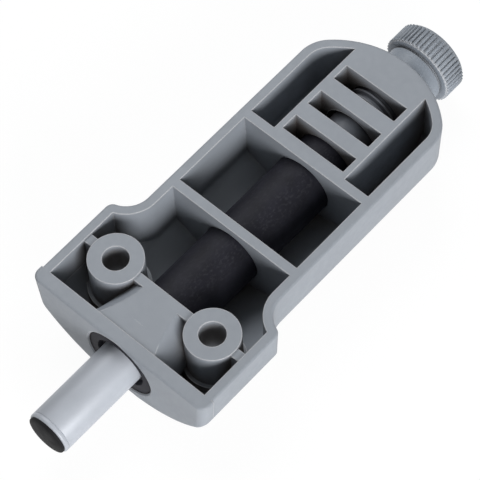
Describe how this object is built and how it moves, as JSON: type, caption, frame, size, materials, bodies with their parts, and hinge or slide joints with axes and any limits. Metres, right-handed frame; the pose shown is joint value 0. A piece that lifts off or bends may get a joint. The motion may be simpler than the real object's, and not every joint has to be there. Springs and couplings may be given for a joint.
{
  "type": "soft close damper",
  "caption": "Adjustable soft-close damper: sprung plunger with a rubber tip in a ribbed screw-on housing, set by a knurled rear screw.",
  "frame": {"origin": "midway between the two screw holes, in the plane of the housing's open mounting face", "axes": "+X along the damper from the rubber tip towards the adjusting knob, +Y across the two screw holes, +Z out of the open mounting face"},
  "size_m": [0.0915, 0.0358, 0.0143],
  "materials": {
    "housing_plastic": "satin moulded grey plastic",
    "adjuster_plastic": "satin moulded grey plastic",
    "cartridge_plastic": "matt black moulded plastic",
    "cylinder_metal": "satin silver",
    "bumper_rubber": "matt",
    "rod_steel": "ground",
    "piston_plastic": "natural acetal",
    "ring_plastic": "filled low-friction plastic",
    "seal_rubber": "matt",
    "foam": "closed-cell foam",
    "spring_steel": "drawn wire"
  },
  "bodies": {
    "housing": {"housing": "housing_plastic"},
    "cartridge": {"cartridge_sleeve": "cartridge_plastic", "cartridge_end_plug": "cartridge_plastic", "piston_rod": "rod_steel", "piston": "piston_plastic", "piston_ring": "ring_plastic", "valve_disc": "ring_plastic", "rod_retainer": "rod_steel"},
    "adjuster": {"adjuster_screw": "adjuster_plastic"},
    "plunger": {"damper_cylinder": "cylinder_metal", "bumper_tip": "bumper_rubber", "rod_gland": "piston_plastic", "rod_seal": "seal_rubber", "end_ring": "piston_plastic", "spring_seat": "piston_plastic", "compensator_foam": "foam", "return_spring": "spring_steel"}
  },
  "joints": [
    {"name": "cartridge_travel", "type": "slide", "parent": "housing", "child": "cartridge", "axis": [1, 0, 0], "range_m": [0, 0.00298]},
    {"name": "adjuster_turn", "type": "hinge", "parent": "cartridge", "child": "adjuster", "pos_m": [0.0567, 0, -0.00685], "axis": [1, 0, 0], "range_deg": [0, 860]},
    {"name": "plunger_press", "type": "slide", "parent": "cartridge", "child": "plunger", "axis": [1, 0, 0], "range_m": [0, 0.013], "stiffness_N_per_m": 200, "springref_m": -0.005, "deforming": ["return_spring"]}
  ],
  "couplings": [
    {"joint": "adjuster_turn", "follows": "cartridge_travel", "rad_per_m": 5026.5}
  ]
}
